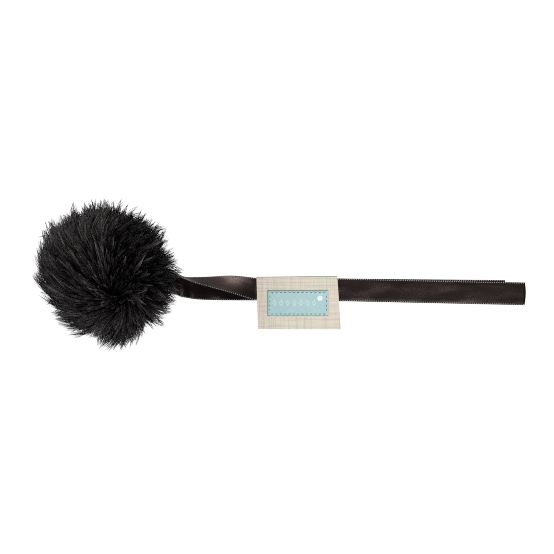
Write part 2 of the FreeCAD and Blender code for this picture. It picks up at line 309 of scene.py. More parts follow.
def linen_material(turn):
    """Card with a printed linen look: fine crossed threads of uneven weight and tint."""
    n = Nodes("linen_card", roughness=0.82, Specular_IOR_Level=0.25)
    across = n.noise(n.scaled(1700, 40, 40, turn), detail=2, roughness=0.7)
    along = n.noise(n.scaled(40, 1700, 40, turn), detail=2, roughness=0.7)
    tint_a = n.noise(n.scaled(120, 50, 50, turn), detail=1)
    tint_b = n.noise(n.scaled(50, 120, 50, turn), detail=1)
    pink, sand, green = (0.80, 0.68, 0.59), (0.76, 0.69, 0.60), (0.71, 0.69, 0.56)
    base = n.mix(
        0.5,
        n.ramp(tint_a, (0.35, pink), (0.5, sand), (0.65, green)),
        n.ramp(tint_b, (0.35, green), (0.5, sand), (0.65, pink)),
    )
    for threads in (across, along):
        lines = n.ramp(
            threads, (0.36, (0.82, 0.83, 0.82)), (0.50, (0.97, 0.97, 0.97)), (0.64, (1.0, 1.0, 1.0))
        )
        base = n.mix(1.0, base, lines, "MULTIPLY")
    n.colour(base)
    n.bump(n.math("ADD", across, along), 0.04, 0.5)
    return n.material


def plain_material(name, colour, roughness):
    n = Nodes(name, roughness=roughness)
    n.shader.inputs["Base Color"].default_value = (*colour, 1)
    return n.material


def patch_material():
    """Pale teal leather-look paper with faint mottling."""
    n = Nodes("teal_patch", roughness=0.55, Specular_IOR_Level=0.4)
    grain = n.noise(n.scaled(1500, 1500, 1500), detail=3)
    mottle = n.noise(n.scaled(160, 160, 160), detail=3)
    base = n.ramp(mottle, (0.3, (0.38, 0.59, 0.63)), (0.55, (0.43, 0.61, 0.60)), (0.75, (0.45, 0.60, 0.66)))
    n.colour(n.mix(0.3, base, n.ramp(grain, (0.3, (0.33, 0.52, 0.53)), (0.7, (0.55, 0.74, 0.75)))))
    n.bump(grain, 0.02)
    return n.material


def dot_material():
    n = Nodes("white_dot", roughness=0.5)
    grain = n.noise(n.scaled(1500, 1500, 1500), detail=2)
    n.colour(n.ramp(grain, (0.3, (0.78, 0.82, 0.80)), (0.7, (0.88, 0.90, 0.88))))
    return n.material


def filling_material():
    n = Nodes("white_filling", roughness=0.95)
    fibres = n.noise(n.scaled(300, 300, 300), detail=5)
    n.colour(n.ramp(fibres, (0.3, (0.5, 0.5, 0.48)), (0.7, (0.8, 0.8, 0.77))))
    n.bump(fibres, 0.5)
    return n.material


# ---------------------------------------------------------------- mesh helpers

def link_mesh(name, points_mm, faces, material, smooth=True):
    mesh = bpy.data.meshes.new(name)
    mesh.from_pydata([tuple(p) for p in np.asarray(points_mm) * MM], [], faces)
    mesh.validate()
    if smooth:
        mesh.shade_smooth()
    mesh.materials.append(material)
    piece = bpy.data.objects.new(name, mesh)
    bpy.context.scene.collection.objects.link(piece)
    return piece


def unit(v):
    return v / np.maximum(np.linalg.norm(v, axis=-1, keepdims=True), 1e-12)


def natural_spline(points, at):
    """Places on a smooth curve through points, whose first column is the parameter, read at each of at."""
    points = np.array(points, float)
    x = points[:, 0]
    gap = np.diff(x)
    count = len(x)
    matrix = np.zeros((count, count))
    right = np.zeros((count, points.shape[1]))
    matrix[0, 0] = matrix[-1, -1] = 1
    for i in range(1, count - 1):
        matrix[i, i - 1:i + 2] = gap[i - 1], 2 * (gap[i - 1] + gap[i]), gap[i]
        slope = (points[i + 1] - points[i]) / gap[i] - (points[i] - points[i - 1]) / gap[i - 1]
        right[i] = 6 * slope
    second = np.linalg.solve(matrix, right)
    i = np.clip(np.searchsorted(x, at) - 1, 0, count - 2)
    h = gap[i][:, None]
    a = (x[i + 1] - at)[:, None] / h
    b = (at - x[i])[:, None] / h
    bend = ((a ** 3 - a) * second[i] + (b ** 3 - b) * second[i + 1]) * h ** 2 / 6
    return a * points[i] + b * points[i + 1] + bend


# ---------------------------------------------------------------- ribbon

RIBBON_WIDTH = 10.0
BODY_THICKNESS = 0.18
SELVEDGE_THICKNESS = 0.26
UNDER_LEVEL = 0.65
OVER_LEVEL = 1.0
FOLD_RADIUS = 0.6
BAIL_X, BAIL_Y, BAIL_Z = 18.6, 1.0, 13.8
LEAD_START_X = BAIL_X + 1.6
LEAD_END_X = 63.6
EDGE_AT_CARD_Y = -2.3
STATION_GAP = 0.6
PICOT_PITCH = 0.98
PICOT_INSET = 0.33
PICOT_HALF = 0.33

# Edge points of the two layers between the fold and the card, from the pompom outwards.
UNDER_NEAR = [
    (LEAD_START_X, BAIL_Y - FOLD_RADIUS, BAIL_Z - 5.0), (23.0, 1.3, 6.4), (25.5, 1.05, 4.3),
    (28.0, 0.15, 2.6), (29.5, -0.85, 1.7), (31.0, -1.7, 1.45), (32.5, -2.25, 1.3), (34.2, -2.5, 0.8),
    (36.0, -2.6, 0.62), (39.0, -2.58, 0.65), (43.0, -2.55, 1.0), (48.0, -2.5, 1.05), (53.0, -2.4, 0.75),
    (57.0, -2.35, UNDER_LEVEL), (LEAD_END_X, EDGE_AT_CARD_Y, UNDER_LEVEL),
]
UNDER_FAR = [
    (LEAD_START_X, BAIL_Y - FOLD_RADIUS, BAIL_Z + 5.0), (23.0, -2.6, 15.8), (25.5, -6.0, 11.6),
    (28.0, -8.8, 7.0), (29.5, -9.8, 3.9), (30.6, -10.4, 2.9), (32.2, -10.9, 2.7), (33.5, -11.1, 2.1),
    (35.0, -11.4, 1.0), (36.5, -11.65, 0.7), (39.0, -11.9, 1.2), (43.0, -12.05, 2.4), (46.0, -12.1, 2.8),
    (50.0, -12.2, 2.3), (54.0, -12.25, 1.3), (58.0, -12.28, 0.7),
    (LEAD_END_X, EDGE_AT_CARD_Y - RIBBON_WIDTH, UNDER_LEVEL),
]
OVER_NEAR = [
    (LEAD_START_X, BAIL_Y + FOLD_RADIUS, BAIL_Z - 5.0), (23.0, 2.0, 6.0), (25.5, 1.7, 3.2),
    (28.0, 0.7, 1.4), (31.5, -1.5, 0.5), (36.0, -2.15, 0.4), (43.3, -1.9, 0.4), (49.2, -1.5, 0.4),
    (54.1, -1.4, 0.5), (59.0, -1.8, 0.75), (LEAD_END_X, EDGE_AT_CARD_Y, OVER_LEVEL),
]
OVER_FAR = [
    (LEAD_START_X, BAIL_Y + FOLD_RADIUS, BAIL_Z + 5.0), (23.0, 1.6, 16.0), (25.5, 1.0, 13.2),
    (28.0, 0.0, 11.4), (31.5, -2.0, 10.4), (36.0, -4.0, 10.2), (43.3, -6.2, 9.4), (49.2, -7.9, 8.1),
    (54.1, -9.3, 6.4), (59.0, -10.9, 4.0), (LEAD_END_X, EDGE_AT_CARD_Y - RIBBON_WIDTH, OVER_LEVEL),
]
UNDER_TAIL_END = (173.7, -3.34)
OVER_TAIL_KINK = (102.0, -2.62)
OVER_TAIL_END = (182.4, -4.4)


def lead_edges(near, far):
    at = np.arange(LEAD_START_X, LEAD_END_X, STATION_GAP)
    return natural_spline(near, at), natural_spline(far, at)


def tail_edges(corners, level):
    """Both edges of a flat tail through corners of its near edge, always RIBBON_WIDTH apart."""
    corners = np.array([(LEAD_END_X, EDGE_AT_CARD_Y), *corners])
    near, far = [], []
    for i, (start, end) in enumerate(zip(corners, corners[1:])):
        run = unit(end - start)
        count = int(np.linalg.norm(end - start) / STATION_GAP)
        last = i == len(corners) - 2
        for share in np.linspace(0, 1, count, endpoint=last):
            place = start + (end - start) * share
            across = np.array([run[1], -run[0]]) * RIBBON_WIDTH
            near.append((*place, level))
            far.append((*(place + across), level))
    return np.array(near), np.array(far)


def ribbon_edges():
    """Both edges of the whole ribbon: in along the under layer, round the fold, out along the over one."""
    under_lead = lead_edges(UNDER_NEAR, UNDER_FAR)
    over_lead = lead_edges(OVER_NEAR, OVER_FAR)
    under_tail = tail_edges([UNDER_TAIL_END], UNDER_LEVEL)
    over_tail = tail_edges([OVER_TAIL_KINK, OVER_TAIL_END], OVER_LEVEL)
    angles = np.linspace(-math.pi / 2, -3 * math.pi / 2, 13)
    turn = np.array([
        (BAIL_X + FOLD_RADIUS * math.cos(a), BAIL_Y + FOLD_RADIUS * math.sin(a)) for a in angles
    ])
    edges = []
    for side, height in ((0, BAIL_Z - RIBBON_WIDTH / 2), (1, BAIL_Z + RIBBON_WIDTH / 2)):
        bend = np.column_stack([turn, np.full(len(turn), height)])
        parts = [under_tail[side][::-1], under_lead[side][::-1], bend, over_lead[side], over_tail[side]]
        edges.append(np.concatenate(parts))
    return edges


def ribbon_frame(near, far):
    """At each station: middle, direction across, direction along and the cloth's normal."""
    middle = (near + far) / 2
    along = unit(np.gradient(middle, axis=0))
    across = far - near
    normal = unit(np.cross(across, along))
    return middle, across, along, normal


def ribbon_mesh(near, far, material):
    """A closed strip: a thin satin body between two thicker woven selvedges."""
    middle, across, along, normal = ribbon_frame(near, far)
    shares = np.array([-0.5, -0.485, -0.455, -0.44, -0.3, -0.15, 0, 0.15, 0.3, 0.44, 0.455, 0.485, 0.5])
    edge = np.abs(shares) > 0.45
    half = np.where(edge, SELVEDGE_THICKNESS, BODY_THICKNESS) / 2
    half[0] = half[-1] = SELVEDGE_THICKNESS * 0.2
    count, wide = len(middle), len(shares)
    rows = middle[:, None] + across[:, None] * shares[None, :, None]
    top = rows + normal[:, None] * half[None, :, None]
    bottom = rows - normal[:, None] * half[None, :, None]
    end_bow = (0.25 - shares ** 2) * 4 * 0.5
    for layer in (top, bottom):
        layer[-1] += along[-1] * end_bow[:, None]
    ring = np.concatenate([top, bottom[:, ::-1]], axis=1)
    size = 2 * wide
    faces = []
    for i in range(count - 1):
        for j in range(size):
            k = (j + 1) % size
            faces.append((i * size + j, i * size + k, (i + 1) * size + k, (i + 1) * size + j))
    for base, flip in ((0, True), ((count - 1) * size, False)):
        for j in range(wide - 1):
            cap = [base + j, base + j + 1, base + size - 2 - j, base + size - 1 - j]
            faces.append(tuple(cap[::-1] if flip else cap))
    ribbon = link_mesh("satin_ribbon", ring.reshape(-1, 3), faces, material)
    ribbon.data.materials.append(selvedge_material())
    near_edge = {0, 1, size - 3, size - 2, size - 1}
    far_edge = {wide - 3, wide - 2, wide - 1, wide, wide + 1}
    woven_edge = near_edge | far_edge
    for index, face in enumerate(ribbon.data.polygons):
        face.material_index = int(index < (count - 1) * size and index % size in woven_edge)
    return ribbon


def picot_mesh(near, far, material):
    """The selvedges' small thread loops: one bead every PICOT_PITCH along both edges."""
    middle, across, along, normal = ribbon_frame(near, far)
    rings, sides = 4, 6
    points, faces = [], []
    for side in (-1, 1):
        edge = middle + across * (0.5 * side)
        inward = -unit(across) * side
        length = np.concatenate([[0], np.cumsum(np.linalg.norm(np.diff(edge, axis=0), axis=1))])
        for at in np.arange(PICOT_PITCH / 2, length[-1], PICOT_PITCH):
            place, run, side_way, up = (
                np.array([np.interp(at, length, field[:, c]) for c in range(3)])
                for field in (edge, along, inward, normal)
            )
            first = len(points)
            points.append(place - run * PICOT_HALF + side_way * PICOT_INSET)
            for r in range(1, rings):
                angle = math.pi * r / rings
                for s in range(sides):
                    turn = 2 * math.pi * s / sides
                    points.append(
                        place + side_way * PICOT_INSET - run * PICOT_HALF * math.cos(angle)
                        + side_way * 0.31 * math.sin(angle) * math.cos(turn)
                        + up * 0.23 * math.sin(angle) * math.sin(turn)
                    )
            points.append(place + run * PICOT_HALF + side_way * PICOT_INSET)
            last = len(points) - 1
            for s in range(sides):
                t = (s + 1) % sides
                faces.append((first, first + 1 + t, first + 1 + s))
                for r in range(rings - 2):
                    a = first + 1 + r * sides
                    faces.append((a + s, a + t, a + sides + t, a + sides + s))
                a = first + 1 + (rings - 2) * sides
                faces.append((last, a + s, a + t))
    return link_mesh("ribbon_picots", points, faces, material)


def add_ribbon():
    near, far = ribbon_edges()
    ribbon = ribbon_mesh(near, far, satin_material())
    picots = picot_mesh(near, far, picot_material())
    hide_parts("ribbon_fold", "under_lead", "over_lead", "under_tail", "over_tail")
    for piece in (ribbon, picots):
        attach(piece, "ribbon")


# ---------------------------------------------------------------- card tag and label

CARD_TOP = ((64.4, -1.9), (99.9, -1.5))
CARD_BOTTOM = ((65.0, -24.9), (101.4, -25.0))
CARD_TURN = math.atan2(0.4, 35.5)
BACK_PANEL = 0.4
FOLD_WALL = 0.25
CARD_THICKNESS = 1.9


def arc(centre, radius, start, end, count=6):
    return [
        (centre[0] + radius * math.cos(a), centre[1] + radius * math.sin(a))
        for a in np.radians(np.linspace(start, end, count))
    ]


def sleeve_profile(depth):
    """Back panel and fold in section: distance from the fold, and height."""
    outer = [(FOLD_WALL, CARD_THICKNESS)] + arc((0.25, CARD_THICKNESS - 0.25), 0.25, 100, 180)
    outer += arc((0.45, 0.45), 0.45, 180, 270)
    outer += [(depth * s, 0.0) for s in (0.25, 0.5, 0.75)]
    far = [(depth - 0.05, 0.0), (depth, 0.05), (depth, BACK_PANEL - 0.05), (depth - 0.05, BACK_PANEL)]
    inner = [(depth * s, BACK_PANEL) for s in (0.75, 0.5, 0.25)]
    inner += arc((FOLD_WALL + 0.28, BACK_PANEL + 0.28), 0.28, 270, 180)
    return outer + far + inner


def card_sleeve(material):
    """Back panel and fold as one bent sheet of card."""
    top, bottom = np.array(CARD_TOP), np.array(CARD_BOTTOM)
    columns = 13
    depth = float(np.linalg.norm(bottom[0] - top[0]))
    profile = sleeve_profile(depth)
    size = len(profile)
    points, faces = [], []
    for share in np.linspace(0, 1, columns):
        start = top[0] + (top[1] - top[0]) * share
        end = bottom[0] + (bottom[1] - bottom[0]) * share
        for away, height in profile:
            place = start + (end - start) * (away / depth)
            points.append((*place, height))
    for i in range(columns - 1):
        for j in range(size):
            k = (j + 1) % size
            faces.append((i * size + j, i * size + k, (i + 1) * size + k, (i + 1) * size + j))
    faces.append(tuple(range(size))[::-1])
    faces.append(tuple(range((columns - 1) * size, columns * size)))
    sleeve = link_mesh("card_sleeve", points, faces, material, smooth=False)
    # The fold's rounded top is painted darker: painted shade along the crease.
    sleeve.data.materials.append(plain_material("card_fold_painted_shade", (0.25, 0.235, 0.21), roughness=0.85))
    for index, face in enumerate(sleeve.data.polygons):
        face.material_index = int(index < (columns - 1) * size and index % size < 5)
    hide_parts("card_back", "card_fold")
    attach(sleeve, "card")


def soften_edges(piece, radius_mm):
    bevel = piece.modifiers.new("soft_edges", "BEVEL")
    bevel.width = radius_mm * MM
    bevel.segments = 2
    bevel.limit_method = "ANGLE"
    bevel.angle_limit = math.radians(40)


PATCH_LOW, PATCH_HIGH = node_box("label_patch")
PATCH_SIZE = PATCH_HIGH - PATCH_LOW
PATCH_FACE = 1.75
STITCH_INSET = 0.75
STITCH_PITCH = 1.9
STITCH_LENGTH = 1.15
STITCH_WIDTH = 0.36
EMBOSS = 0.11
MOTIF_COUNT = 7
MOTIF_PITCH = 2.9
MOTIF_SHIFT = -1.6
MOTIF_HALF = (1.05, 1.70)
RECESS_SHADE_WIDTH = 0.42
SHADE_STRIP_PROUD = 0.012


def stitch_places():
    """Middle of each stitch, from the patch's middle, and whether it runs along the patch."""
    places = []
    half_length = PATCH_SIZE[0] / 2 - STITCH_INSET
    half_height = PATCH_SIZE[1] / 2 - STITCH_INSET
    for half, other, level in ((half_length, half_height, True), (half_height, half_length, False)):
        count = int(2 * half / STITCH_PITCH)
        for i in range(count):
            along = (i - (count - 1) / 2) * STITCH_PITCH
            for side in (-1, 1):
                places.append(((along, side * other) if level else (side * other, along), level))
    return places


def motif_mesh(material, floor):
    """A plain row of raised lozenge frames, each with a soft outer edge and a shallow dished middle."""
    middle = (PATCH_LOW + PATCH_HIGH) / 2
    rings = [(0.0, -0.02), (0.10, EMBOSS), (0.42, EMBOSS), (0.52, 0.03)]
    points, faces = [], []
    for index in range(MOTIF_COUNT):
        centre_x = middle[0] + (index - 3) * MOTIF_PITCH + MOTIF_SHIFT
        first = len(points)
        for inset, height in rings:
            for corner_x, corner_y in ((1, 0), (0, 1), (-1, 0), (0, -1)):
                x = centre_x + corner_x * (MOTIF_HALF[0] - inset * 1.18)
                y = middle[1] + corner_y * (MOTIF_HALF[1] - inset * 1.90)
                points.append((x, y, PATCH_FACE + height))
        for ring in range(len(rings) - 1):
            a, b = first + 4 * ring, first + 4 * ring + 4
            for s in range(4):
                t = (s + 1) % 4
                faces.append((a + s, a + t, b + t, b + s))
        faces.append(tuple(first + 4 * (len(rings) - 1) + s for s in range(4)))
        faces.append(tuple(first + 3 - s for s in range(4)))
    motif = link_mesh("label_motif", points, faces, material, smooth=False)
    motif.data.materials.append(floor)
    faces_each = 4 * (len(rings) - 1) + 2
    dished_middle = faces_each - 2
    # The raised frames take the lighter teal as painted highlight; the dished middle keeps the patch's
    # teal.
    for index, face in enumerate(motif.data.polygons):
        face.material_index = int(index % faces_each == dished_middle)
    soften_edges(motif, 0.03)
    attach(motif, "card_front")


def patch_mesh(material):
    """The teal patch: rolled edges and a dimple under each stitch."""
    nx, ny = 177, 73
    half_x, half_y = PATCH_SIZE[0] / 2, PATCH_SIZE[1] / 2
    x, y = np.meshgrid(np.linspace(-half_x, half_x, nx), np.linspace(-half_y, half_y, ny))
    border = np.minimum(half_x - np.abs(x), half_y - np.abs(y))
    rolled = 0.09 * np.exp(-border / 0.12)
    height = PATCH_FACE - rolled
    for (sx, sy), level in stitch_places():
        long, wide = (x - sx, y - sy) if level else (y - sy, x - sx)
        far = np.maximum(np.abs(long) - STITCH_LENGTH / 2, 0) ** 2 + wide ** 2
        height -= 0.05 * np.exp(-far / 0.12)
    middle = (PATCH_LOW + PATCH_HIGH) / 2
    top = np.stack([x + middle[0], y + middle[1], height], axis=-1).reshape(-1, 3)
    bottom = top.copy()
    bottom[:, 2] = PATCH_LOW[2]
    rim = list(range(nx))
    rim += [r * nx + nx - 1 for r in range(1, ny)]
    rim += [(ny - 1) * nx + c for c in range(nx - 2, -1, -1)]
    rim += [r * nx for r in range(ny - 2, 0, -1)]
    count = nx * ny
    faces = []
    for r in range(ny - 1):
        for c in range(nx - 1):
            a = r * nx + c
            faces.append((a, a + 1, a + nx + 1, a + nx))
    skirt = bottom[rim]
    for i in range(len(rim)):
        j = (i + 1) % len(rim)
        faces.append((rim[i], count + i, count + j, rim[j]))
    faces.append(tuple(count + i for i in range(len(rim)))[::-1])
    patch = link_mesh("teal_label_patch", np.concatenate([top, skirt]), faces, material)
    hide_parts("label_patch")
    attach(patch, "card_front")


def recess_painted_light():
    """A line round the label: painted shadow above and to its left, painted highlight below and to its
    right, as on a recess lit from the upper left.
    """
    low, high = PATCH_LOW - 0.05, PATCH_HIGH + 0.05
    wide = RECESS_SHADE_WIDTH
    strips = [
        (low[0] - wide, high[1], high[0], high[1] + wide),
        (low[0] - wide, low[1], low[0], high[1]),
        (low[0], low[1] - wide * 1.3, high[0] + wide * 1.3, low[1]),
        (high[0], low[1], high[0] + wide * 1.3, high[1]),
    ]
    points, faces = [], []
    top, bottom = CARD_THICKNESS + SHADE_STRIP_PROUD, CARD_THICKNESS - 0.02
    for x0, y0, x1, y1 in strips:
        first = len(points)
        for height in (bottom, top):
            points += [(x0, y0, height), (x1, y0, height), (x1, y1, height), (x0, y1, height)]
        box = [(3, 2, 1, 0), (4, 5, 6, 7), (0, 1, 5, 4), (1, 2, 6, 5), (2, 3, 7, 6), (3, 0, 4, 7)]
        faces += [tuple(first + corner for corner in face) for face in box]
    # Painted shadow on the upper and left strips, painted highlight on the lower and right ones.
    dark = plain_material("recess_painted_shadow", (0.30, 0.31, 0.28), roughness=0.8)
    outline = link_mesh("label_recess_painted_light", points, faces, dark, smooth=False)
    outline.data.materials.append(plain_material("recess_painted_highlight", (0.62, 0.63, 0.56), roughness=0.8))
    for index, face in enumerate(outline.data.polygons):
        face.material_index = int(index >= 12)
    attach(outline, "card_front")


def stitch_mesh(material):
    """Each visible stitch as a short fat twist of thread that dips into the patch at both ends."""
    middle = (PATCH_LOW + PATCH_HIGH) / 2
    rings, sides = 9, 8
    points, faces = [], []
    for (sx, sy), level in stitch_places():
        first = len(points)
        for r in range(rings):
            share = r / (rings - 1)
            along = (share - 0.5) * STITCH_LENGTH
            dip = 0.13 * (2 * share - 1) ** 4
            fat = STITCH_WIDTH / 2 * (0.35 + 0.65 * math.sin(math.pi * min(max(share, 0.02), 0.98)) ** 0.5)
            for s in range(sides):
                turn = 2 * math.pi * s / sides
                wide = fat * math.cos(turn)
                high = PATCH_FACE - 0.06 - dip + 0.16 * math.sin(turn) * fat / (STITCH_WIDTH / 2)
                place = (along, wide) if level else (wide, along)
                points.append((middle[0] + sx + place[0], middle[1] + sy + place[1], high))
        for r in range(rings - 1):
            for s in range(sides):
                t = (s + 1) % sides
                a, b = first + r * sides, first + (r + 1) * sides
                quad = (a + s, a + t, b + t, b + s)
                faces.append(quad if level else quad[::-1])
        start, end = tuple(first + s for s in range(sides)), first + (rings - 1) * sides
        stop = tuple(end + s for s in range(sides))
        faces.append(start[::-1] if level else start)
        faces.append(stop if level else stop[::-1])
    stitches = link_mesh("label_stitches", points, faces, material)
    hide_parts("stitch_thread")
    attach(stitches, "card_front")


def add_card():
    card_sleeve(linen_material(-CARD_TURN))
    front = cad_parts["card_front"]
    paint(front, linen_material(-CARD_TURN))
    soften_edges(front, 0.06)
    teal = patch_material()
    recess_painted_light()
    patch_mesh(teal)
    # The lighter teal on the raised frames is painted highlight.
    motif_mesh(plain_material("motif_painted_highlight", (0.58, 0.74, 0.73), roughness=0.5), teal)
    stitch_mesh(thread_material("teal_thread", (0.10, 0.15, 0.16), (0.22, 0.31, 0.32)))
    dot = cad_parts["label_dot"]
    paint(dot, dot_material())
    soften_edges(dot, 0.04)


# ---------------------------------------------------------------- pompom

CENTRE = node_middle("stuffing")
PILE_LOW, PILE_HIGH = node_box("fur_pile")
PILE_RADIUS = (PILE_HIGH[0] - PILE_LOW[0]) / 2
ROOT_RADIUS = 17.5
UNDERFUR_RADIUS = 19.0
TUFTS = 900
UNDERCOAT_WISPS = 3100
WISPS = 8200
STRANDS_PER_WISP = 6
STRANDS_PER_PIECE = 7000
STRAND_RADIUS = 0.105
NECK_WAY = unit(np.array([BAIL_X, BAIL_Y, BAIL_Z]) - CENTRE)
NECK_BARE = 0.34
NECK_COMBED = 0.62
STRAND_STOPS = np.array([0.0, 0.28, 0.52, 0.74, 0.9])
STRAND_TONE = 4.5
UNDERCOAT_SHADE_STEPS = 3.0
UNDERCOAT_LENGTH = 0.86
DENT_RADIUS = 15.3
RAISED_NECK = 0.22

# How the pile lies, seen from above: place of the fibres' tips on the ball and the way they lean there.
COMBING = [
    ((-0.17, 0.75), (0.22, 0.95)),
    ((-0.45, 0.72), (-0.35, 0.95)),
    ((-0.71, 0.45), (-0.45, 1.05)),
    ((-0.92, 0.05), (-0.60, 1.05)),
    ((-0.32, 0.21), (-0.65, 0.95)),
    ((-0.08, 0.38), (-0.30, 1.00)),
    ((-0.56, 0.15), (-0.80, 0.80)),
    ((-0.12, -0.10), (-0.55, 0.95)),
    ((-0.80, -0.28), (-0.75, 0.95)),
    ((-0.41, -0.23), (-0.75, 0.85)),
    ((-0.15, -0.35), (-0.80, 0.75)),
    ((-0.26, -0.50), (-1.05, 0.35)),
    ((-0.60, -0.55), (-1.05, 0.40)),
    ((0.05, -0.48), (-0.95, 0.30)),
    ((-0.26, -0.71), (-1.05, -0.25)),
    ((0.04, -0.65), (-1.00, -0.40)),
    ((-0.42, -0.82), (-1.05, -0.10)),
    ((0.04, -0.93), (-0.45, -0.95)),
    ((0.27, -0.80), (-0.15, -1.00)),
    ((0.50, -0.70), (0.35, -0.90)),
    ((0.69, -0.56), (0.70, -0.60)),
    ((0.88, -0.35), (0.60, -0.15)),
    ((0.24, 0.66), (0.70, 0.65)),
    ((0.45, 0.50), (0.45, 0.45)),
    ((0.60, 0.70), (0.50, 0.45)),
    ((0.78, 0.35), (0.20, 0.20)),
    ((0.48, 0.15), (0.15, 0.20)),
    ((0.16, 0.15), (0.20, 0.45)),
    ((0.16, -0.11), (0.15, 0.45)),
    ((0.40, -0.22), (0.35, 0.35)),
    ((0.30, -0.36), (0.20, 0.35)),
    ((0.65, -0.20), (0.15, 0.10)),
]
COMB_SHARPNESS = 30.0
COMB_FLOOR = 0.03

# How far the pile reaches round the ball's widest part: degrees anticlockwise from +X, share of the radius.
OUTLINE = [
    (0, 1.05), (30, 1.04), (60, 1.03), (75, 1.00), (92, 1.09), (105, 1.03), (122, 1.06), (140, 1.11),
    (155, 1.05), (180, 1.06), (200, 0.96), (225, 0.98), (240, 1.02), (255, 0.98), (272, 1.15), (287, 1.17),
    (302, 1.07), (315, 1.08), (330, 1.14), (345, 1.13), (360, 1.05),
]


def comb(ways):
    """Lean of the pile at each unit direction from the ball's centre."""
    places = unit(np.array([(x, y, math.sqrt(max(0.0, 1 - x * x - y * y))) for (x, y), lean in COMBING]))
    leans = np.array([(*lean, 0.0) for place, lean in COMBING])
    weights = np.exp(COMB_SHARPNESS * (ways @ places.T - 1))
    lean = weights @ leans / (weights.sum(axis=1, keepdims=True) + COMB_FLOOR)
    return lean - ways * (lean * ways).sum(axis=1, keepdims=True)


def reach(ways):
    """Length factor of the pile: the outline's at the ball's widest part, plain at its top and bottom."""
    turn = np.degrees(np.arctan2(ways[:, 1], ways[:, 0])) % 360
    angles, factors = np.array(OUTLINE, float).T
    waist = 1 - np.clip(np.abs(ways[:, 2]) / 0.75, 0, 1) ** 2
    return (1 + (np.interp(turn, angles, factors) - 1) * waist)[:, None]


def neck_angle(ways):
    return np.arccos(np.clip(ways @ NECK_WAY, -1, 1))


def part_round_neck(ways):
    """Extra lean away from the neck, where the pile parts round the ribbon."""
    away = unit(ways - NECK_WAY * (ways @ NECK_WAY)[:, None])
    fade = np.clip((NECK_COMBED - neck_angle(ways)) / (NECK_COMBED - NECK_BARE), 0, 1)[:, None]
    return away * 0.45 * fade ** 2


def standing_side_shade(ways):
    """Share from 0 to 1 of the side towards the ribbon, where the fibre stands up and looks deepest, and
    its wisps get painted shade.
    """
    inside = np.clip((ways[:, 0] - 0.02) / 0.25, 0, 1) * np.clip((ways[:, 1] + 0.45) / 0.25, 0, 1)
    return inside[:, None]


def sphere_points(count):
    """Even places over a unit sphere."""
    i = np.arange(count) + 0.5
    height = 1 - 2 * i / count
    turn = i * math.pi * (3 - math.sqrt(5))
    flat = np.sqrt(1 - height ** 2)
    return np.column_stack([flat * np.cos(turn), flat * np.sin(turn), height])


def above_table(points, clear=0.25, soft=0.7):
    """Lifts what would be under the table to just above it, with a soft bend."""
    height = points[..., 2] - clear
    lifted = soft * np.logaddexp(0, height / soft)
    points[..., 2] = np.where(height < 4 * soft, lifted, height) + clear
    return points


def strand_paths(rng):
    """Points along every strand from the backing to its tip, and its tone.

    Strands draw together into wisps and wisps into tufts: each follows the comb, then its group's own tip.
    """
    tuft = unit(sphere_points(TUFTS) + rng.normal(0, 0.03, (TUFTS, 3)))
    tuft_tip = unit(tuft + 0.3 * (comb(tuft) + part_round_neck(tuft)) + rng.normal(0, 0.08, (TUFTS, 3)))
    tuft_long = rng.normal(0, 0.035, (TUFTS, 1))
    tuft_tone = rng.normal(0, 0.35, (TUFTS, 1))
    wisp = unit(sphere_points(WISPS) + rng.normal(0, 0.012, (WISPS, 3)))
    group = np.argmax(wisp @ tuft.T, axis=1)
    draw = rng.uniform(0.1, 0.55, (TUFTS, 1))[group]
    wisp_lean = comb(wisp) + part_round_neck(wisp) + rng.normal(0, 0.10, (WISPS, 3))
    wisp_tip = unit(unit(wisp + 0.3 * wisp_lean) * (1 - draw) + tuft_tip[group] * draw)
    wisp_long = reach(wisp_tip) * (1 + tuft_long[group]) * rng.uniform(0.86, 1.04, (WISPS, 1))
    wisp_tone = tuft_tone[group] + rng.normal(0, 1.4, (WISPS, 1))
    stands = standing_side_shade(wisp)
    # Painted shade on that side: most wisps there are darkened, and a few are lightened as painted glints.
    wisp_tone += stands * np.where(rng.random((WISPS, 1)) < 0.07, 1.5, -2.4)
    coat = rng.random((WISPS, 1)) < UNDERCOAT_WISPS / WISPS
    # The shorter undercoat wisps are darkened: painted shade deep in the pile.
    wisp_tone -= UNDERCOAT_SHADE_STEPS * coat
    wisp_long *= np.where(coat, UNDERCOAT_LENGTH, 1.0)

    every = np.repeat(np.arange(WISPS), STRANDS_PER_WISP)
    total = len(every)
    lean = wisp_lean[every] + rng.normal(0, 0.05, (total, 3))
    ways = unit(unit(wisp[every] - 0.75 * lean) + rng.normal(0, 0.03, (total, 3)))
    kept = neck_angle(ways) > NECK_BARE + rng.normal(0, 0.03, total)
    every, lean, ways = every[kept], lean[kept], ways[kept]
    total = len(every)
    share = rng.uniform(0.82, 0.98, (total, 1))
    tip_way = unit(unit(wisp[every] + 0.3 * lean) * (1 - share) + wisp_tip[every] * share)
    tip_radius = PILE_RADIUS * wisp_long[every] * (1 - np.abs(rng.normal(0, 0.04, (total, 1))))
    root = CENTRE + ways * ROOT_RADIUS
    tip = CENTRE + tip_way * tip_radius
    control = CENTRE + unit(ways + 0.42 * lean) * (ROOT_RADIUS + 0.70 * (tip_radius - ROOT_RADIUS))
    stops = np.append(STRAND_STOPS, 1.0)[None, :, None]
    paths = (
        root[:, None] * (1 - stops) ** 2
        + control[:, None] * 2 * stops * (1 - stops)
        + tip[:, None] * stops ** 2
        + (rng.normal(0, 0.45, (WISPS, 1, 3))[every] + rng.normal(0, 0.1, (total, 1, 3)))
        * np.sin(stops * math.pi * 1.5) * stops
    )
    tone = STRAND_TONE + wisp_tone[every] + rng.normal(0, 0.5, (total, 1))
    return above_table(paths), tone[:, 0]


